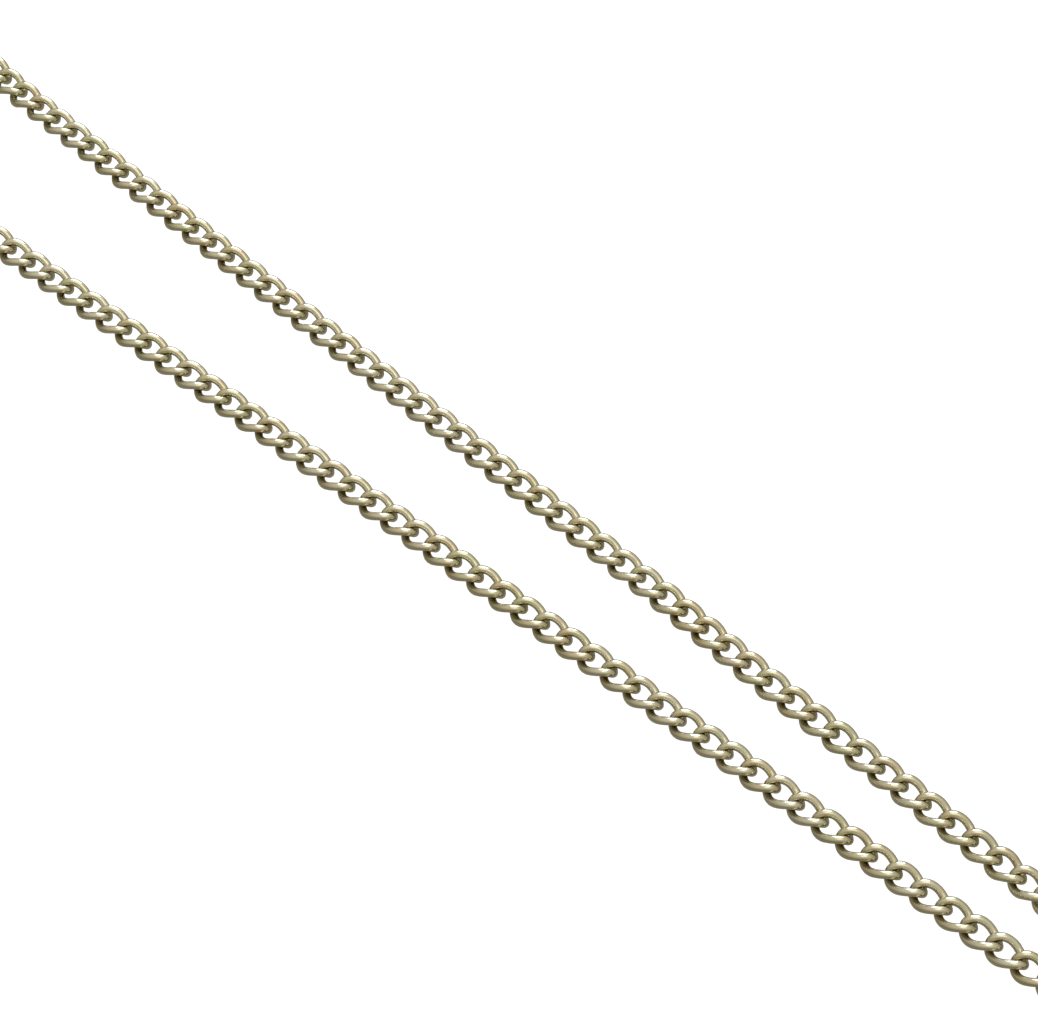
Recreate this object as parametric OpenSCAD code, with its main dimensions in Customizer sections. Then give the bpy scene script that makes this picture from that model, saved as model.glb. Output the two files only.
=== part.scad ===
// Pocket watch chain of the waistcoat kind: a long run of flattened curb links with a
// T-bar for the buttonhole at one end and a swivel clip for the watch's bow at the other.
// It lies folded in two on a flat surface at z = 0, with +X towards its two ends.

/* [Chain] */
// Distance from one link to the next along the chain
link_pitch = 3.0; // [2.9:0.05:3.1]
// Diameter of the round wire that the links are made of
wire_d = 0.88; // [0.8:0.02:0.9]
// Outer width of a link
link_w = 3.6; // [3.5:0.1:3.8]
// Play between two linked wires when the chain lies slack
link_play = 0.10; // [0.08:0.01:0.12]
// Twist of each end of a link away from the chain's flat side
end_twist = 45; // [44:1:48]
// Radius of the arc at each end of a link, at the middle of the wire
end_r = 1.3; // [1.25:0.05:1.35]
// Half the angle that an end arc spans
end_half_angle = 48; // [46:1:50]

/* [Lay] */
// Number of links in the fold, where the chain comes back on itself
fold_links = 11; // [11:1:12]
// Outward turn at each of the two joints on either side of the fold
neck_turn = 2; // [1:0.5:2.5]

/* [Jump rings] */
// Radius of a jump ring, at the middle of its wire
ring_r = 1.6; // [1.55:0.05:1.65]
// Diameter of a jump ring's wire
ring_wire_d = 0.8; // [0.7:0.05:0.8]
// How steeply a jump ring stands
ring_tilt = 65; // [63:1:67]

/* [T-bar] */
// Length over the two ball ends
bar_length = 26; // [22:1:28]
// Diameter of the plain rod
bar_d = 2.6; // [2.4:0.1:2.8]
// Diameter of the ball ends
bar_ball_d = 3.8; // [3.8:0.1:4]
// Width of the collar that turns on the rod's waist
collar_w = 2.2; // [2:0.1:2.6]

/* [Swivel clip] */
// Radius of the hook's loop, at the middle of its bar
hook_r = 3.5; // [3.4:0.1:3.8]
// Diameter of the hook's bar
hook_bar_d = 2.2; // [2:0.1:2.2]
// Length of the hook's straight side
hook_side = 7; // [6.5:0.5:9]
// Diameter of the barrel that the swivel turns in
barrel_d = 3.4; // [3.3:0.1:3.6]

/* [Hidden] */
$fn = 32;
old_gold = [0.72, 0.66, 0.47];
pale_gold = [0.78, 0.72, 0.53];
spring_steel = [0.62, 0.62, 0.60];

// Link: two end arcs at the twist angle, two side arcs that bulge out to the full width,
// and a knot of slightly more than the wire's size where they meet.
end_reach = (link_pitch + wire_d + link_play) / 2;
end_centre = end_reach - end_r;
side_reach = (link_w - wire_d) / 2;
knot_x = end_centre + end_r * cos(end_half_angle);
knot_y = end_r * sin(end_half_angle) * cos(end_twist);
knot_z = end_r * sin(end_half_angle) * sin(end_twist);
knot_d = 1.02 * wire_d;
chord = norm([knot_x, knot_z]);
bulge = side_reach - knot_y;
side_r = (chord * chord + bulge * bulge) / (2 * bulge);
side_half_angle = asin(chord / side_r);
side_slope = atan2(knot_z, knot_x);

// Lay of the chain, from the T-bar end round to the clip end: how many links, and how far
// each turns from the one before it. Small turns follow the slight waves of a laid chain.
links_per_node = 3;
first_link = [69.8, 2.1];
end_turn = 15;
kink = 1.9;
first_heading = 178.44 + 3 * end_turn;
out_heading = 177.88;
back_heading = 362.4;
fold_turn = (back_heading - out_heading + 4 * neck_turn) / fold_links;
lay = [
    [1, 0], [3, -end_turn], [12, 0], [1, -kink], [4, 0], [1, kink], [10, 0], [14, -0.04], [9, 0],
    [2, -neck_turn], [fold_links, fold_turn], [1, 0], [2, -neck_turn], [66 - fold_links, -0.012],
    [3, -4]
];
turns = [for (stretch = lay) for (i = [1:stretch[0]]) stretch[1]];
link_count = len(turns);
node_count = link_count / links_per_node;
headings = [for (i = 0, h = first_heading; i < link_count;
    i = i + 1, h = h + (i < link_count ? turns[i] : 0)) h];
function along(angle) = [cos(angle), sin(angle)];
function step(i) = link_pitch / 2 * (along(headings[i]) + along(headings[i + 1]));
trail = [for (i = 0, at = first_link; i < link_count;
    at = at + (i < link_count - 1 ? step(i) : [0, 0]), i = i + 1) at];
lie_z = knot_z + knot_d / 2;

// Ends: each end has its own frame, at the middle of the last link, with +X pointing out
// along the chain. The jump ring leans on the last link's end wire and the eye hangs in it.
running_gap = 0.05;
overlap = 0.2;
eye_wire_d = 0.9;
eye_r = 1.3;
fitting_z = bar_ball_d / 2;
ring_lean = 0.15;
ring_x = end_reach + ring_lean;
ring_z = ring_r * sin(ring_tilt) + ring_wire_d / 2;
eye_lead = 2.05;
eye_x = end_reach + eye_lead;
eye_far_x = eye_x + eye_r;

// T-bar
collar_d = 3.0;
collar_bore_d = 2.0;
waist_d = collar_bore_d - 2 * running_gap;
waist_w = collar_w + 4 * running_gap;
eye_bite = 0.1;
bar_x = eye_far_x + collar_d / 2 + eye_bite;
bead_lead = 1.2;
bead_y = bar_length / 2 - bar_ball_d - bead_lead;
bead_w = 0.9;
bead_rise = 0.35;
shoulder_w = 0.8;
shoulder_rise = 0.25;

// Swivel clip
post_d = 1.5;
head_d = 2.4;
head_w = 0.7;
barrel_gap = 0.3;
barrel_x = eye_far_x + eye_wire_d / 2 + barrel_gap;
barrel_w = 3.4;
neck_w = 1.6;
chamber_x = barrel_x + neck_w;
chamber_w = head_w + 0.2;
flange_x = 0.5;
flange_w = 0.7;
loop_x = barrel_x + barrel_w + hook_r - overlap;
nose_x = loop_x + hook_side;
cheek_d = 3.0;
cheek_w = 2.9;
slot_w = 1.5;
pin_d = 0.8;
pin_fit = 0.02;
gate_bore_d = pin_d + 2 * running_gap;
gate_eye_d = 2.4;
gate_eye_w = 0.8;
gate_eye_z = -slot_w / 2 + 0.07;
gate_d = 1.8;
gate_shoulder = 1.75;
gate_reach = hook_side - 0.12;
stud_x = 0.45 * hook_side;
stud_d = 1.5;
spring_wire_d = 0.22;
spring_r = 0.75;
spring_gap = 0.24;
spring_leg = 1.3;
spring_z = gate_eye_z + gate_eye_w + 0.2;

function two_digits(n) = str(n < 10 ? "0" : "", n);
function link_node(n) = str("curb_links_", two_digits(n + 1));

// Part of a ring of round bar about the Z axis, centred on +X
module bent_bar(radius, bar, half_angle) {
    rotate_extrude(angle = 2 * half_angle, start = -half_angle) translate([radius, 0]) circle(d = bar);
}

module ring(radius, bar) {
    rotate_extrude() translate([radius, 0]) circle(d = bar);
}

module curb_link() {
    for (side = [0, 180]) rotate([0, 0, side]) {
        translate([end_centre, 0, 0]) rotate([-end_twist, 0, 0])
            bent_bar(end_r, wire_d, end_half_angle);
        translate([0, side_reach - side_r, 0]) rotate([0, side_slope, 0]) rotate([0, 0, 90])
            bent_bar(side_r, wire_d, side_half_angle);
        for (end = [1, -1]) translate([end * knot_x, knot_y, -end * knot_z]) sphere(d = knot_d);
    }
}

module curb_links(n) {
    color(n % 2 == 0 ? old_gold : pale_gold) for (i = [0:links_per_node - 1])
        let (k = n * links_per_node + i)
            translate([trail[k].x, trail[k].y, lie_z]) rotate([0, 0, headings[k]]) curb_link();
}

module at_bar_end() {
    translate(trail[0]) rotate([0, 0, headings[0] - 180]) children();
}

module at_clip_end() {
    translate(trail[link_count - 1]) rotate([0, 0, headings[link_count - 1]]) children();
}

module jump_ring() {
    color(old_gold) translate([ring_x, 0, ring_z]) rotate([ring_tilt, 0, 0])
        ring(ring_r, ring_wire_d);
}

module along_y(width, d) {
    rotate([90, 0, 0]) cylinder(h = width, d = d, center = true);
}

module along_x(width, d) {
    rotate([0, 90, 0]) cylinder(h = width, d = d);
}

module t_bar_jump_ring() {
    at_bar_end() jump_ring();
}

module clip_jump_ring() {
    at_clip_end() jump_ring();
}

module t_bar_eye() {
    color(old_gold) at_bar_end() translate([0, 0, fitting_z]) difference() {
        union() {
            translate([eye_x, 0, 0]) ring(eye_r, eye_wire_d);
            translate([bar_x, 0, 0]) along_y(collar_w, collar_d);
        }
        translate([bar_x, 0, 0]) along_y(collar_w + 1, collar_bore_d);
    }
}

module t_bar_rod() {
    shoulder = (waist_w + bar_length - bar_ball_d) / 4;
    color(pale_gold) at_bar_end() translate([bar_x, 0, fitting_z]) {
        along_y(waist_w + 2 * overlap, waist_d);
        for (side = [1, -1]) on_side(side) {
            translate([0, shoulder, 0]) along_y((bar_length - bar_ball_d - waist_w) / 2, bar_d);
            translate([0, (bar_length - bar_ball_d) / 2, 0]) sphere(d = bar_ball_d);
            translate([0, bead_y, 0]) along_y(bead_w, bar_d + 2 * bead_rise);
            translate([0, (waist_w + shoulder_w) / 2, 0])
                along_y(shoulder_w, bar_d + 2 * shoulder_rise);
        }
    }
}

module on_side(side) {
    rotate([0, 0, side > 0 ? 0 : 180]) children();
}

module clip_swivel_eye() {
    color(old_gold) at_clip_end() translate([0, 0, fitting_z]) {
        translate([eye_x, 0, 0]) ring(eye_r, eye_wire_d);
        translate([eye_far_x, 0, 0]) along_x(chamber_x + overlap - eye_far_x, post_d);
        translate([chamber_x + running_gap, 0, 0]) along_x(head_w, head_d);
    }
}

module clip_body() {
    color(pale_gold) at_clip_end() translate([0, 0, fitting_z]) difference() {
        union() {
            translate([barrel_x, 0, 0]) along_x(barrel_w, barrel_d);
            translate([barrel_x + flange_x, 0, 0]) along_x(flange_w, bar_ball_d);
            translate([loop_x, 0, 0]) rotate([0, 0, 180]) bent_bar(hook_r, hook_bar_d, 90);
            translate([loop_x, -hook_r, 0]) along_x(hook_side, hook_bar_d);
            translate([nose_x, 0, 0]) bent_bar(hook_r, hook_bar_d, 90);
            translate([loop_x, hook_r, 0]) cylinder(h = cheek_w, d = cheek_d, center = true);
        }
        translate([barrel_x - overlap, 0, 0])
            along_x(neck_w + 2 * overlap, post_d + 2 * running_gap);
        translate([chamber_x, 0, 0]) along_x(chamber_w, head_d + 0.3);
        translate([loop_x, hook_r, 0]) {
            cylinder(h = slot_w, d = gate_eye_d + 0.3, center = true);
            translate([0, -cheek_d, -slot_w / 2]) cube([cheek_d, cheek_d + gate_d / 2, slot_w]);
            cylinder(h = cheek_w + 1, d = pin_d + pin_fit, center = true);
        }
    }
}

module clip_gate() {
    color(old_gold) at_clip_end() translate([loop_x, hook_r, fitting_z]) {
        difference() {
            union() {
                translate([0, 0, gate_eye_z]) cylinder(h = gate_eye_w, d = gate_eye_d);
                translate([0, overlap - gate_d / 2, gate_eye_z])
                    cube([gate_shoulder + 2 * overlap, gate_d - 2 * overlap, gate_eye_w]);
            }
            cylinder(h = cheek_w, d = gate_bore_d, center = true);
        }
        translate([gate_shoulder, 0, 0]) along_x(gate_reach - gate_shoulder, gate_d);
        translate([stud_x, gate_d / 2 + 0.1, 0]) sphere(d = stud_d);
    }
}

module clip_gate_pin() {
    color(pale_gold) at_clip_end() translate([loop_x, hook_r, fitting_z])
        cylinder(h = cheek_w, d = pin_d, center = true);
}

module clip_gate_spring() {
    color(spring_steel) at_clip_end() translate([loop_x, hook_r, fitting_z + spring_z]) {
        for (turn = [0, 1]) translate([0, 0, turn * spring_gap]) ring(spring_r, spring_wire_d);
        translate([-0.15, spring_r, spring_gap]) along_x(spring_leg, spring_wire_d + 0.06);
    }
}

for (n = [0:node_count - 1]) curb_links(n);
t_bar_jump_ring();
t_bar_eye();
t_bar_rod();
clip_jump_ring();
clip_swivel_eye();
clip_body();
clip_gate();
clip_gate_pin();
clip_gate_spring();
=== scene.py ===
"""Looks of the pocket watch chain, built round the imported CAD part.

Every piece is mesh code in millimetres, put into the frame in metres, and rides on its CAD body.
"""

import math

import bmesh
import bpy
import numpy as np
from mathutils import Matrix, Vector

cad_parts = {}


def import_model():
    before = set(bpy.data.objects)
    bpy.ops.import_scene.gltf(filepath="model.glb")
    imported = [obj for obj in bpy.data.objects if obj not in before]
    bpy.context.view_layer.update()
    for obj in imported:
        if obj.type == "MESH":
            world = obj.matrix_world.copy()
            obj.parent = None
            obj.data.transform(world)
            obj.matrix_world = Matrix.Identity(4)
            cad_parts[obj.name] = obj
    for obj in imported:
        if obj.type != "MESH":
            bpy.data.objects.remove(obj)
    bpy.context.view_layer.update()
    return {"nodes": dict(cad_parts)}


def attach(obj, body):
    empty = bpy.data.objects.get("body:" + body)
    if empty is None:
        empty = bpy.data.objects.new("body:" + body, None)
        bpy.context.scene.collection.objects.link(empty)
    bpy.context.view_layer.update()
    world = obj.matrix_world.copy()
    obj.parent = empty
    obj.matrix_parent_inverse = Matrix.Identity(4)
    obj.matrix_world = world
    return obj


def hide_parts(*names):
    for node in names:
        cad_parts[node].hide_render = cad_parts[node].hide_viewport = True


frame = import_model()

rng = np.random.default_rng(1894)
MM = 0.001

# ---------------------------------------------------------------- sizes, as in part.scad (mm)
PITCH, WIRE_D, LINK_W, PLAY = 3.0, 0.88, 3.6, 0.10
TWIST, END_R, END_HALF = math.radians(45), 1.3, math.radians(48)
END_REACH = (PITCH + WIRE_D + PLAY) / 2
SIDE_REACH = (LINK_W - WIRE_D) / 2
KNOT = (
    END_REACH - END_R + END_R * math.cos(END_HALF),
    END_R * math.sin(END_HALF) * math.cos(TWIST),
    END_R * math.sin(END_HALF) * math.sin(TWIST),
)
LIE_Z = KNOT[2] + 1.02 * WIRE_D / 2
LINKS_PER_NODE, FOLD_LINKS, NECK, END_TURN, KINK = 3, 11, 2, 15, 1.9
FIRST_LINK, FIRST_HEADING = (69.8, 2.1), 178.44 + 3 * END_TURN
OUT_HEADING, BACK_HEADING = 177.88, 362.4
FOLD_TURN = (BACK_HEADING - OUT_HEADING + 4 * NECK) / FOLD_LINKS
LAY = [
    (1, 0), (3, -END_TURN), (12, 0), (1, -KINK), (4, 0), (1, KINK), (10, 0), (14, -0.04), (9, 0),
    (2, -NECK), (FOLD_LINKS, FOLD_TURN), (1, 0), (2, -NECK), (66 - FOLD_LINKS, -0.012), (3, -4),
]
RING_R, RING_WIRE, RING_TILT, RING_LEAN = 1.6, 0.8, 65, 0.15
RING_Z = RING_R * math.sin(math.radians(RING_TILT)) + RING_WIRE / 2
FITTING_Z, EYE_LEAD, EYE_R, EYE_WIRE, EYE_BITE = 1.9, 2.05, 1.3, 0.9, 0.1
EYE_FAR_X = END_REACH + EYE_LEAD + EYE_R
BAR_LENGTH, BAR_D, BALL_D, COLLAR_D = 26, 2.6, 3.8, 3.0
WAIST_D, WAIST_W, SHOULDER_W, SHOULDER_RISE = 1.9, 2.4, 0.8, 0.25
BEAD_W, BEAD_RISE, BEAD_LEAD = 0.9, 0.35, 1.2
BAR_X = EYE_FAR_X + COLLAR_D / 2 + EYE_BITE
BARREL_GAP, BARREL_W, HOOK_R, OVERLAP = 0.3, 3.4, 3.5, 0.2
LOOP_X = EYE_FAR_X + EYE_WIRE / 2 + BARREL_GAP + BARREL_W + HOOK_R - OVERLAP
CHEEK_W, PIN_D, GATE_EYE_Z, GATE_EYE_W = 2.9, 0.8, -0.68, 0.8
SPRING_R, SPRING_WIRE, SPRING_GAP = 0.75, 0.22, 0.24
SPRING_Z = GATE_EYE_Z + GATE_EYE_W + 0.2


def lay_out():
    """The middle and the heading of every link, from the T-bar end round to the clip end."""
    turns = [turn for count, turn in LAY for _ in range(count)]
    headings = FIRST_HEADING + np.cumsum([0] + turns[1:])
    ways = np.column_stack([np.cos(np.radians(headings)), np.sin(np.radians(headings))])
    steps = PITCH / 2 * (ways[:-1] + ways[1:])
    return np.vstack([FIRST_LINK, np.array(FIRST_LINK) + np.cumsum(steps, axis=0)]), headings


TRAIL, HEADINGS = lay_out()


def turn(axis, degrees):
    """The matrix that turns by so many degrees about "X", "Y" or "Z"."""
    return np.array(Matrix.Rotation(math.radians(degrees), 3, axis))


def put(points, rotation, place):
    """The points turned by the rotation matrix and then moved to the place."""
    return points @ rotation.T + np.array(place)


def at_bar_end(points):
    """From the T-bar's own frame, with +X out along the chain, to the row frame."""
    return put(points, turn("Z", HEADINGS[0] - 180), (*TRAIL[0], 0))


def at_clip_end(points):
    """From the clip's own frame, with +X out along the chain, to the row frame."""
    return put(points, turn("Z", HEADINGS[-1]), (*TRAIL[-1], 0))


# ---------------------------------------------------------------- mesh building
def unit(v):
    """The vector, or each row's vector, at length 1."""
    return v / np.linalg.norm(v, axis=-1, keepdims=True)


def frames_along(path, closed):
    """Two normals at every point of a path, carried along it without twist."""
    if closed:
        tangents = unit(np.roll(path, -1, 0) - np.roll(path, 1, 0))
    else:
        tangents = unit(np.gradient(path, axis=0))
    seed = np.eye(3)[np.argmin(np.abs(tangents[0]))]
    normal = unit(np.cross(tangents[0], seed))
    normals = [normal]
    for t in tangents[1:]:
        normal = unit(normal - (normal @ t) * t)
        normals.append(normal)
    normals = np.array(normals)
    sides = np.cross(tangents, normals)
    if closed:
        last = unit(normals[-1] - (normals[-1] @ tangents[0]) * tangents[0])
        slip = math.atan2(last @ sides[0], last @ normals[0])
        angle = -slip * np.arange(len(path)) / len(path)
        c, s = np.cos(angle)[:, None], np.sin(angle)[:, None]
        normals, sides = c * normals + s * sides, c * sides - s * normals
    return tangents, normals, sides


DOME = np.array([(1.0, 0.35), (0.8, 0.72), (0.45, 0.93), (0.12, 1.0)])


def sweep(path, radii, sides=20, closed=True, cap=0.0):
    """A tube of the given radius at each point. An open tube gets domed ends of depth cap.

    DOME holds how far out each ring of a domed end lies, and how wide it is.
    """
    path = np.asarray(path, float)
    radii = np.broadcast_to(np.asarray(radii, float), len(path)).copy()
    tangents, normal, side = frames_along(path, closed)
    if not closed and cap > 0:
        lead, rim = DOME.T
        head = path[0] - cap * lead[:, None] * tangents[0]
        tail = path[-1] + cap * lead[::-1, None] * tangents[-1]
        path = np.vstack([head, path, tail])
        radii = np.concatenate([rim * radii[0], radii, rim[::-1] * radii[-1]])
        repeats = np.ones(len(normal), int)
        repeats[[0, -1]] += len(DOME)
        normal = np.repeat(normal, repeats, 0)
        side = np.repeat(side, repeats, 0)
    angle = 2 * math.pi * np.arange(sides) / sides
    cosines, sines = np.cos(angle)[None, :, None], np.sin(angle)[None, :, None]
    out = cosines * normal[:, None] + sines * side[:, None]
    verts = (path[:, None] + radii[:, None, None] * out).reshape(-1, 3)
    n = len(path)
    rows = n if closed else n - 1
    faces = []
    for i in range(rows):
        a, b = i * sides, (i + 1) % n * sides
        for j in range(sides):
            k = (j + 1) % sides
            faces.append((a + j, a + k, b + k, b + j))
    if not closed:
        faces.append(tuple(reversed(range(sides))))
        faces.append(tuple(range((n - 1) * sides, n * sides)))
    return verts, faces


def rounded(corners, steps=5):
    """A profile of (x, r) points from (x, r, fillet) corners."""
    points = [np.array(corners[0][:2], float)]
    for before, here, after in zip(corners, corners[1:], corners[2:]):
        p = np.array(here[:2], float)
        if here[2] <= 0:
            points.append(p)
            continue
        a, b = np.array(before[:2]) - p, np.array(after[:2]) - p
        reach = min(here[2], 0.45 * np.linalg.norm(a), 0.45 * np.linalg.norm(b))
        a, b = p + reach * unit(a), p + reach * unit(b)
        for t in np.linspace(0, 1, steps):
            points.append((1 - t) ** 2 * a + 2 * t * (1 - t) * p + t**2 * b)
    points.append(np.array(corners[-1][:2], float))
    return np.array(points)


def lathe(profile, segments=64):
    """The profile's (x, r) points turned about the X axis. Its two ends lie on the axis."""
    inner = profile[1:-1]
    angle = 2 * math.pi * np.arange(segments) / segments
    ring = np.column_stack([np.cos(angle), np.sin(angle)])
    verts = [(profile[0][0], 0, 0)]
    for x, r in inner:
        verts.extend((x, r * c, r * s) for c, s in ring)
    verts.append((profile[-1][0], 0, 0))
    last = len(verts) - 1
    faces = []
    for j in range(segments):
        k = (j + 1) % segments
        faces.append((0, 1 + k, 1 + j))
        for i in range(len(inner) - 1):
            a, b = 1 + i * segments, 1 + (i + 1) * segments
            faces.append((a + j, a + k, b + k, b + j))
        end = 1 + (len(inner) - 1) * segments
        faces.append((end + j, end + k, last))
    return np.array(verts), faces


def make_piece(name, parts, material, attributes=None):
    """One mesh object from (points in mm, faces) parts in the row frame."""
    verts, faces, base = [], [], 0
    for points, quads in parts:
        verts.append(points)
        faces.extend(tuple(v + base for v in face) for face in quads)
        base += len(points)
    mesh = bpy.data.meshes.new(name)
    mesh.from_pydata((np.vstack(verts) * MM).tolist(), [], faces)
    for key, values in (attributes or {}).items():
        layer = mesh.attributes.new(key, "FLOAT", "POINT")
        layer.data.foreach_set("value", np.asarray(values, np.float32))
    work = bmesh.new()
    work.from_mesh(mesh)
    bmesh.ops.recalc_face_normals(work, faces=work.faces)
    work.to_mesh(mesh)
    work.free()
    mesh.polygons.foreach_set("use_smooth", [True] * len(mesh.polygons))
    mesh.materials.append(material)
    piece = bpy.data.objects.new(name, mesh)
    bpy.context.scene.collection.objects.link(piece)
    return piece


def cast_copy(name, node, voxel, rounds, material):
    """A copy of a CAD node with every edge and inner corner softened, as polished metal has."""
    mesh = frame["nodes"][node].data.copy()
    mesh.transform(Matrix.Scale(1 / MM, 4))
    mesh.materials.clear()
    work = bmesh.new()
    work.from_mesh(mesh)
    bmesh.ops.remove_doubles(work, verts=work.verts, dist=1e-4)
    work.to_mesh(mesh)
    work.free()
    piece = bpy.data.objects.new(name, mesh)
    bpy.context.scene.collection.objects.link(piece)
    remesh = piece.modifiers.new("even", "REMESH")
    remesh.mode = "VOXEL"
    remesh.voxel_size = voxel
    smooth = piece.modifiers.new("soften", "SMOOTH")
    smooth.factor = 0.5
    smooth.iterations = rounds
    depsgraph = bpy.context.evaluated_depsgraph_get()
    soft = bpy.data.meshes.new_from_object(piece.evaluated_get(depsgraph))
    piece.modifiers.clear()
    soft.transform(Matrix.Scale(MM, 4))
    soft.name = name
    piece.data = soft
    bpy.data.meshes.remove(mesh)
    soft.polygons.foreach_set("use_smooth", [True] * len(soft.polygons))
    soft.materials.clear()
    soft.materials.append(material)
    return piece


def finish_piece(piece, body, slot, *nodes):
    """Let the piece ride on its body in place of the CAD nodes that it stands for."""
    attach(piece, body)
    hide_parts(*nodes)


# ---------------------------------------------------------------- materials
def shader(name):
    """A new material with its node tree and its Principled shader."""
    material = bpy.data.materials.new(name)
    material.use_nodes = True
    tree = material.node_tree
    tree.nodes.clear()
    out = tree.nodes.new("ShaderNodeOutputMaterial")
    bsdf = tree.nodes.new("ShaderNodeBsdfPrincipled")
    tree.links.new(bsdf.outputs["BSDF"], out.inputs["Surface"])
    return material, tree, bsdf


def noise(tree, coords, scale, detail=4.0, rough=0.55, stretch=None):
    """Noise at so many cells a millimetre."""
    source = coords
    if stretch:
        mapping = tree.nodes.new("ShaderNodeMapping")
        mapping.inputs["Scale"].default_value = stretch
        tree.links.new(coords, mapping.inputs["Vector"])
        source = mapping.outputs["Vector"]
    made = tree.nodes.new("ShaderNodeTexNoise")
    made.inputs["Scale"].default_value = scale / MM
    made.inputs["Detail"].default_value = detail
    made.inputs["Roughness"].default_value = rough
    tree.links.new(source, made.inputs["Vector"])
    return made.outputs["Fac"]


def ramp(tree, value, low, high, to_low=0.0, to_high=1.0):
    """A smooth step from to_low at low to to_high at high."""
    made = tree.nodes.new("ShaderNodeMapRange")
    made.interpolation_type = "SMOOTHSTEP"
    numbers = {"From Min": low, "From Max": high, "To Min": to_low, "To Max": to_high}
    for key, number in numbers.items():
        made.inputs[key].default_value = number
    tree.links.new(value, made.inputs["Value"])
    return made.outputs["Result"]


def maths(tree, operation, a, b):
    made = tree.nodes.new("ShaderNodeMath")
    made.operation = operation
    for socket, value in zip(made.inputs, (a, b)):
        if isinstance(value, (int, float)):
            socket.default_value = value
        else:
            tree.links.new(value, socket)
    return made.outputs[0]


def mix(tree, factor, a, b):
    made = tree.nodes.new("ShaderNodeMix")
    made.data_type = "RGBA"
    tree.links.new(factor, made.inputs["Factor"])
    for socket, value in ((made.inputs[6], a), (made.inputs[7], b)):
        if isinstance(value, tuple):
            socket.default_value = (*value, 1)
        else:
            tree.links.new(value, socket)
    return made.outputs[2]


def attribute(tree, name):
    made = tree.nodes.new("ShaderNodeAttribute")
    made.attribute_name = name
    return made.outputs["Fac"]


def metal(name, light, warm, green, grime_and_shade, gloss, per_link):
    """Worn old metal: tints that drift, grime and painted shade in the hollows, fine scratches and soft
    dents.

    With per_link, the tone and the hollows come from the mesh's own attributes of those names.
    """
    material, tree, bsdf = shader(name)
    where = tree.nodes.new("ShaderNodeTexCoord").outputs["Object"]
    drift = ramp(tree, noise(tree, where, 0.35, 2.0), 0.35, 0.65)
    patch = noise(tree, where, 2.2, 5.0, 0.6)
    colour = mix(tree, drift, warm, green)
    if per_link:
        colour = mix(tree, ramp(tree, attribute(tree, "tone"), 0.0, 1.0, 0.15, 0.85), colour, light)
        # The hollow attribute darkens the links where they lie against each other: grime and painted
        # shade.
        hollow = attribute(tree, "hollow")
    else:
        colour = mix(tree, ramp(tree, patch, 0.4, 0.6, 0.3, 0.9), colour, light)
        # Concave places are darkened: grime and painted shade in the recesses.
        geometry = tree.nodes.new("ShaderNodeNewGeometry")
        hollow = ramp(tree, geometry.outputs["Pointiness"], 0.40, 0.495, 1.0, 0.0)
    uneven = ramp(tree, patch, 0.3, 0.7, 0.55, 1.25)
    dirt_and_shade = maths(tree, "MULTIPLY", hollow, uneven)
    dirt_and_shade = maths(tree, "MINIMUM", dirt_and_shade, 1.0)
    specks = ramp(tree, noise(tree, where, 6.0, 3.0, 0.6), 0.60, 0.74, 0.0, 0.22)
    dirt_and_shade = maths(tree, "MAXIMUM", dirt_and_shade, specks)
    # The grime colour goes into the hollows and the specks: real grime, and painted shade in the
    # hollows.
    tree.links.new(mix(tree, dirt_and_shade, colour, grime_and_shade), bsdf.inputs["Base Color"])
    bsdf.inputs["Metallic"].default_value = 1.0
    rubbed = ramp(tree, noise(tree, where, 3.0, 4.0), 0.3, 0.7, gloss - 0.05, gloss + 0.08)
    rough = maths(tree, "ADD", rubbed, maths(tree, "MULTIPLY", dirt_and_shade, 0.25))
    tree.links.new(rough, bsdf.inputs["Roughness"])
    scratches = noise(tree, where, 14.0, 3.0, 0.6, (1.0, 0.16, 0.16))
    cross = noise(tree, where, 14.0, 3.0, 0.6, (0.16, 1.0, 0.3))
    dents = noise(tree, where, 1.3, 2.0)
    height = maths(tree, "ADD", maths(tree, "MULTIPLY", scratches, 0.35), dents)
    height = maths(tree, "ADD", height, maths(tree, "MULTIPLY", cross, 0.35))
    bump = tree.nodes.new("ShaderNodeBump")
    bump.inputs["Strength"].default_value = 0.14
    bump.inputs["Distance"].default_value = 0.04 * MM
    tree.links.new(height, bump.inputs["Height"])
    tree.links.new(bump.outputs["Normal"], bsdf.inputs["Normal"])
    return material


link_gold = metal(
    "link_gold",
    light=(0.67, 0.64, 0.50), warm=(0.63, 0.545, 0.37), green=(0.58, 0.58, 0.38),
    grime_and_shade=(0.23, 0.165, 0.02), gloss=0.20, per_link=True,
)
fitting_gold = metal(
    "fitting_gold",
    light=(0.67, 0.635, 0.48), warm=(0.63, 0.55, 0.37), green=(0.58, 0.57, 0.38),
    grime_and_shade=(0.22, 0.165, 0.04), gloss=0.17, per_link=False,
)
spring_steel = metal(
    "spring_steel",
    light=(0.55, 0.55, 0.54), warm=(0.48, 0.46, 0.42), green=(0.44, 0.45, 0.43),
    grime_and_shade=(0.12, 0.11, 0.09), gloss=0.26, per_link=False,
)


# ---------------------------------------------------------------- links
def signed_power(values, power):
    """Each value's size raised to the power, with the value's own sign."""
    return np.sign(values) * np.abs(values) ** power


def link_path(oval_power, twist_power):
    """The wire's centreline: an oval whose two ends are twisted out of the chain's flat side.

    An oval power over 2 squares it slightly, and a twist power under 1 twists its ends more evenly.
    """
    t = np.linspace(0, 2 * math.pi, 2400, endpoint=False)
    along = END_REACH * signed_power(np.cos(t), 2 / oval_power)
    across = SIDE_REACH * signed_power(np.sin(t), 2 / oval_power)
    twist = -TWIST * signed_power(np.cos(t), twist_power)
    return resample(np.column_stack([along, across * np.cos(twist), across * np.sin(twist)]), LINK_STEPS)


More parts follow.
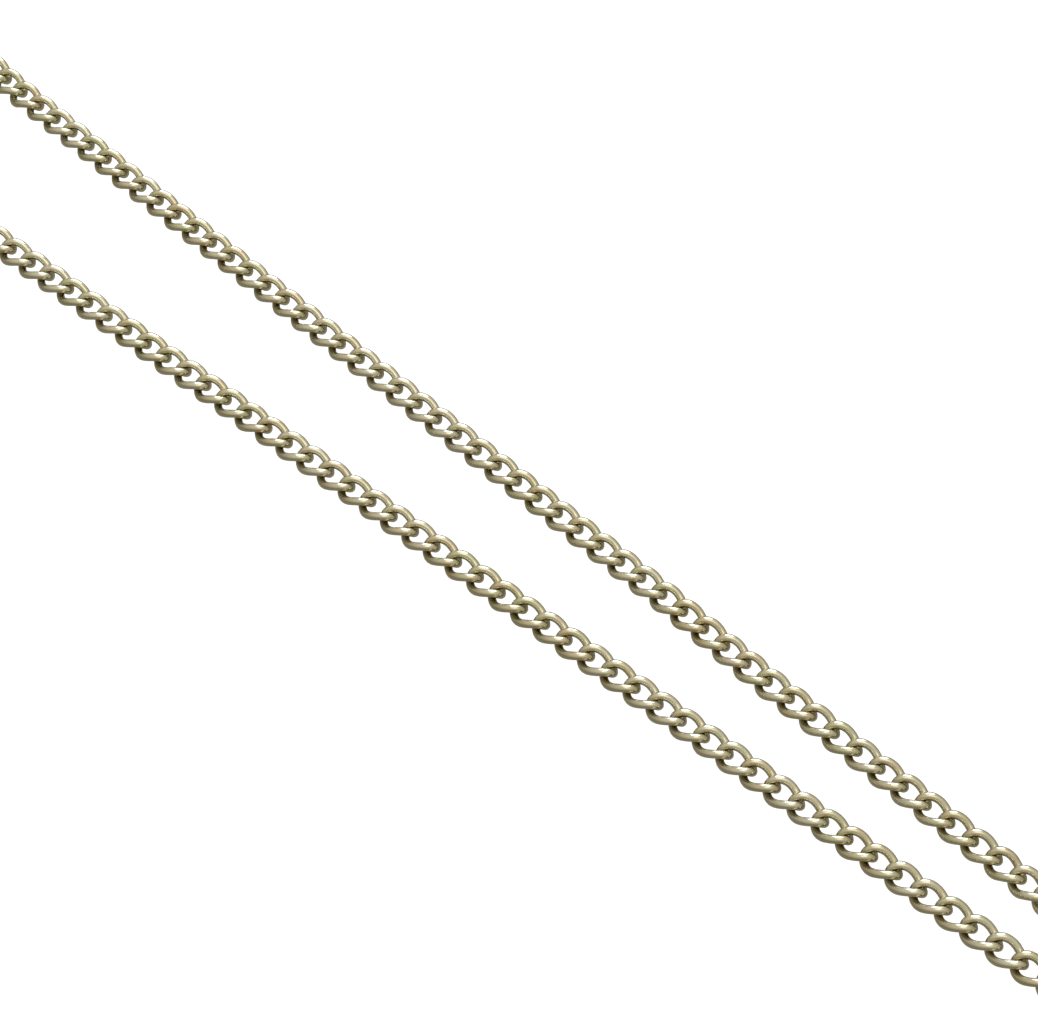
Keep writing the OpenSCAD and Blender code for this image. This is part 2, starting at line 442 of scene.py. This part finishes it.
def resample(loop, count):
    """So many evenly spaced points along a closed loop."""
    closed = np.vstack([loop, loop[:1]])
    run = np.concatenate([[0], np.cumsum(np.linalg.norm(np.diff(closed, axis=0), axis=1))])
    at = np.linspace(0, run[-1], count, endpoint=False)
    return np.column_stack([np.interp(at, run, closed[:, k]) for k in range(3)])


LINK_STEPS, LINK_SIDES = 84, 20
STRAIGHT_PATH, BENT_PATH = link_path(2.03, 0.97), link_path(2.2, 0.8)
RUN = np.linspace(0, 2 * math.pi, LINK_STEPS, endpoint=False)
# How far from a neighbour's wire the grime and the painted shade between the links reach.
SHADE_AND_GRIME_REACH = 0.66
WAVE, WORN, MOST_TILT, BEND = 0.004, 0.985, 0.45, 5


def hollows(points, path):
    """How closely each point of a link faces its neighbours' wires, as a mask for grime and painted
    shade between the links.
    """
    near = np.full(len(points), np.inf)
    for way in (-1, 1):
        other = path + np.array([way * PITCH, 0, 0])
        gap = np.linalg.norm(points[:, None] - other[None], axis=2).min(axis=1) - WIRE_D / 2
        near = np.minimum(near, gap)
    return np.clip(1 - near / SHADE_AND_GRIME_REACH, 0, 1) ** 1.3


def one_link(path):
    """A link with its own slight waviness, solder seam and tilt, in the link's frame."""
    wave = sum(
        WAVE * rng.uniform(0.3, 1) * np.cos(k * RUN + rng.uniform(0, 2 * math.pi))
        for k in (2, 3, 5, 8)
    )
    seam = rng.uniform(0.35, 0.65) * math.pi + (math.pi if rng.random() < 0.5 else 0)
    away = (RUN - seam + math.pi) % (2 * math.pi) - math.pi
    joint = 0.010 * np.exp(-((away / 0.11) ** 2)) - 0.016 * np.exp(-((away / 0.035) ** 2))
    points, faces = sweep(path, WIRE_D / 2 * (WORN + wave + joint), LINK_SIDES)
    hollow = hollows(points, path)
    tilt = rng.normal(0, 0.3, 3).clip(-MOST_TILT, MOST_TILT)
    points = points @ (turn("X", tilt[0]) @ turn("Y", tilt[1]) @ turn("Z", tilt[2])).T
    return points, faces, hollow


def curb_links(n):
    """One node's links as one piece. Links that lie in a bend follow the squarer path."""
    parts, tone, hollow = [], [], []
    for k in range(n * LINKS_PER_NODE, (n + 1) * LINKS_PER_NODE):
        nearby = HEADINGS[max(k - LINKS_PER_NODE, 0):k + LINKS_PER_NODE + 1]
        bend = np.abs(np.diff(nearby)).max()
        points, faces, dirt_and_shade = one_link(BENT_PATH if bend > BEND else STRAIGHT_PATH)
        tone.append(np.full(len(points), rng.random()))
        # The hollow values carry grime and painted shade between the links.
        hollow.append(dirt_and_shade * rng.uniform(0.8, 1.0))
        parts.append((put(points, turn("Z", HEADINGS[k]), (*TRAIL[k], LIE_Z)), faces))
    name = f"{n + 1:02d}"
    values = {"tone": np.concatenate(tone), "hollow": np.concatenate(hollow)}
    piece = make_piece(f"chain_wire_{name}", parts, link_gold, values)
    finish_piece(piece, f"links_{name}", "link_gold", f"curb_links_{name}")


for n in range(len(TRAIL) // LINKS_PER_NODE):
    curb_links(n)


# ---------------------------------------------------------------- fittings
def jump_ring(name, body, cad_node, place):
    """A cut ring of round wire: its two ends meet at a fine butt joint."""
    half_cut, cut_at = 0.035 / RING_R, math.radians(150)
    angle = np.linspace(half_cut, 2 * math.pi - half_cut, 73) + cut_at
    path = RING_R * np.column_stack([np.cos(angle), np.sin(angle), 0 * angle])
    points, faces = sweep(path, RING_WIRE / 2, 24, closed=False, cap=0.02)
    points = place(put(points, turn("X", RING_TILT), (END_REACH + RING_LEAN, 0, RING_Z)))
    piece = make_piece(name, [(points, faces)], fitting_gold)
    finish_piece(piece, body, "fitting_gold", cad_node)


def t_bar():
    """The rod: waist for the collar, shoulders, turned lines, beads and ball ends."""
    ball = (BAR_LENGTH - BALL_D) / 2
    r, big = BAR_D / 2, BALL_D / 2
    neck = ball - math.sqrt(big**2 - r**2)
    waist, shoulder = WAIST_W / 2, WAIST_W / 2 + SHOULDER_W
    bead = BAR_LENGTH / 2 - BALL_D - BEAD_LEAD
    bead_start, bead_end = bead - BEAD_W / 2, bead + BEAD_W / 2
    high, top = r + SHOULDER_RISE, r + BEAD_RISE

    def line(at):
        return [(at - 0.09, r, 0.03), (at, r - 0.07, 0.03), (at + 0.09, r, 0.03)]

    corners = [(0, WAIST_D / 2, 0), (waist, WAIST_D / 2, 0.08)]
    corners += [(waist, high, 0.2), (shoulder, high, 0.2), (shoulder, r, 0.1)]
    corners += line(2.6) + line(3.0) + line(6.8) + line(7.2)
    corners += [(bead_start, r, 0.1), (bead_start + 0.05, top, 0.32)]
    corners += [(bead_end - 0.05, top, 0.32), (bead_end, r, 0.1), *line(8.8), (neck, r, 0)]
    half = rounded(corners)
    start = math.asin(r / big)
    angles = np.linspace(math.pi - start, 0, 26)[1:]
    dome = np.column_stack([ball + big * np.cos(angles), big * np.sin(angles)])
    half = np.vstack([half, dome])
    profile = np.vstack([half[::-1] * (-1, 1), half[1:]])
    points, faces = lathe(profile)
    points = at_bar_end(put(points, turn("Z", 90), (BAR_X, 0, FITTING_Z)))
    piece = make_piece("t_bar_turned_rod", [(points, faces)], fitting_gold)
    finish_piece(piece, "t_bar", "fitting_gold", "t_bar_rod")


def gate_pin():
    """The rivet that the gate turns on, with softly domed ends."""
    r, h = PIN_D / 2, CHEEK_W / 2
    face_r, face, edge = 0.55 * r, h - 0.02, h - 0.1
    profile = rounded([
        (-h, 0, 0), (-face, face_r, 0.1), (-edge, r, 0.08),
        (edge, r, 0.08), (face, face_r, 0.1), (h, 0, 0),
    ])
    points, faces = lathe(profile, 32)
    points = at_clip_end(put(points, turn("Y", -90), (LOOP_X, HOOK_R, FITTING_Z)))
    piece = make_piece("gate_rivet", [(points, faces)], fitting_gold)
    finish_piece(piece, "clip", "fitting_gold", "clip_gate_pin")


def gate_spring():
    """A close coil round the pin, with one leg along the gate."""
    turns, count, leg_count, leg_length = 2, 90, 14, 1.15
    angle = np.linspace(0.5 * math.pi, (0.5 - 2 * turns) * math.pi, count)
    rise = np.linspace(0, SPRING_GAP, count)
    coil = np.column_stack([SPRING_R * np.cos(angle), SPRING_R * np.sin(angle), rise])
    leg_x = np.linspace(0.06, leg_length, leg_count)
    leg = np.column_stack([leg_x, np.full(leg_count, SPRING_R), np.full(leg_count, SPRING_GAP)])
    points, faces = sweep(np.vstack([coil, leg]), SPRING_WIRE / 2, 12, closed=False, cap=0.05)
    points = at_clip_end(points + np.array((LOOP_X, HOOK_R, FITTING_Z + SPRING_Z)))
    piece = make_piece("gate_coil", [(points, faces)], spring_steel)
    finish_piece(piece, "clip", "spring_steel", "clip_gate_spring")


jump_ring("t_bar_ring", "t_bar_ring", "t_bar_jump_ring", at_bar_end)
jump_ring("clip_ring", "clip_ring", "clip_jump_ring", at_clip_end)
t_bar()
gate_pin()
gate_spring()
for name, body, cad_node, voxel, rounds in (
    ("t_bar_collar_eye", "t_bar_eye", "t_bar_eye", 0.06, 5),
    ("swivel_eye", "clip_eye", "clip_swivel_eye", 0.06, 5),
    ("clip_hook", "clip", "clip_body", 0.08, 6),
    ("hook_gate", "gate", "clip_gate", 0.06, 5),
):
    finish_piece(cast_copy(name, cad_node, voxel, rounds, fitting_gold), body, "fitting_gold", cad_node)


# ---------------------------------------------------------------- floor, light and camera
def floor():
    """White paper, bright to look at and much dimmer as the metal's surroundings.

    It lies well below the chain, so that a chain swung down at a joint's limit isn't hidden by it.
    """
    material, tree, bsdf = shader("paper")
    where = tree.nodes.new("ShaderNodeTexCoord").outputs["Object"]
    grain = ramp(tree, noise(tree, where, 0.02, 3.0), 0.3, 0.7)
    seen = tree.nodes.new("ShaderNodeLightPath").outputs["Is Camera Ray"]
    paper = mix(tree, grain, (0.86, 0.86, 0.85), (0.88, 0.88, 0.87))
    tree.links.new(mix(tree, seen, (0.30, 0.28, 0.23), paper), bsdf.inputs["Base Color"])
    tree.links.new(maths(tree, "MULTIPLY", seen, 0.14), bsdf.inputs["Emission Strength"])
    bsdf.inputs["Emission Color"].default_value = (1, 1, 1, 1)
    bsdf.inputs["Roughness"].default_value = 0.9
    bsdf.inputs["Specular IOR Level"].default_value = 0.1
    half, drop = 12.0, -0.12
    corners = [(-half, -half, drop), (half, -half, drop), (half, half, drop), (-half, half, drop)]
    mesh = bpy.data.meshes.new("paper")
    mesh.from_pydata(corners, [], [(0, 1, 2, 3)])
    mesh.materials.append(material)
    made = bpy.data.objects.new("paper", mesh)
    bpy.context.scene.collection.objects.link(made)


def softbox(name, place, size, power, colour):
    """A rectangular light that looks at the origin."""
    light = bpy.data.lights.new(name, "AREA")
    light.shape = "RECTANGLE"
    light.size, light.size_y = size
    light.energy = power
    light.color = colour
    made = bpy.data.objects.new(name, light)
    made.location = place
    made.rotation_euler = (-Vector(place)).to_track_quat("-Z", "Y").to_euler()
    bpy.context.scene.collection.objects.link(made)


def world():
    """Warm light all round, dim at the horizon and brighter overhead."""
    made = bpy.data.worlds.new("studio")
    made.use_nodes = True
    tree = made.node_tree
    tree.nodes.clear()
    out = tree.nodes.new("ShaderNodeOutputWorld")
    background = tree.nodes.new("ShaderNodeBackground")
    background.inputs["Color"].default_value = (1.0, 0.93, 0.80, 1)
    where = tree.nodes.new("ShaderNodeTexCoord").outputs["Generated"]
    split = tree.nodes.new("ShaderNodeSeparateXYZ")
    tree.links.new(where, split.inputs[0])
    tree.links.new(ramp(tree, split.outputs["Z"], 0.1, 0.9, 0.43, 0.80), background.inputs["Strength"])
    tree.links.new(background.outputs[0], out.inputs["Surface"])
    bpy.context.scene.world = made


def camera():
    """The camera looks down at the two runs from the near right, through a long lens."""
    azimuth, elevation, roll = map(math.radians, (40.02, 50.45, 3.57))
    distance, sensor, lens = 349.41, 36, 115.273
    target = Vector((-8.97, -0.70, LIE_Z)) * MM
    level = math.cos(elevation)
    back = Vector((math.sin(azimuth) * level, -math.cos(azimuth) * level, math.sin(elevation)))
    right = (-back).cross(Vector((0, 0, 1))).normalized()
    up = right.cross(-back)
    across = math.cos(roll) * right + math.sin(roll) * up
    upright = -math.sin(roll) * right + math.cos(roll) * up
    data = bpy.data.cameras.new("view")
    data.sensor_width = sensor
    data.lens = lens
    data.clip_start, data.clip_end = 0.01, 20
    made = bpy.data.objects.new("view", data)
    axes = Matrix((across, upright, back)).transposed().to_4x4()
    made.matrix_world = Matrix.Translation(target + distance * MM * back) @ axes
    bpy.context.scene.collection.objects.link(made)
    bpy.context.scene.camera = made


floor()
softbox("behind", (-0.22, 0.36, 0.46), (0.40, 0.40), 2.5, colour=(0.78, 0.95, 1.22))
softbox("overhead", (0.15, -0.05, 0.60), (0.40, 0.40), 0.45, colour=(1.0, 0.95, 0.84))
world()
camera()
bpy.context.scene.view_settings.view_transform = "Standard"
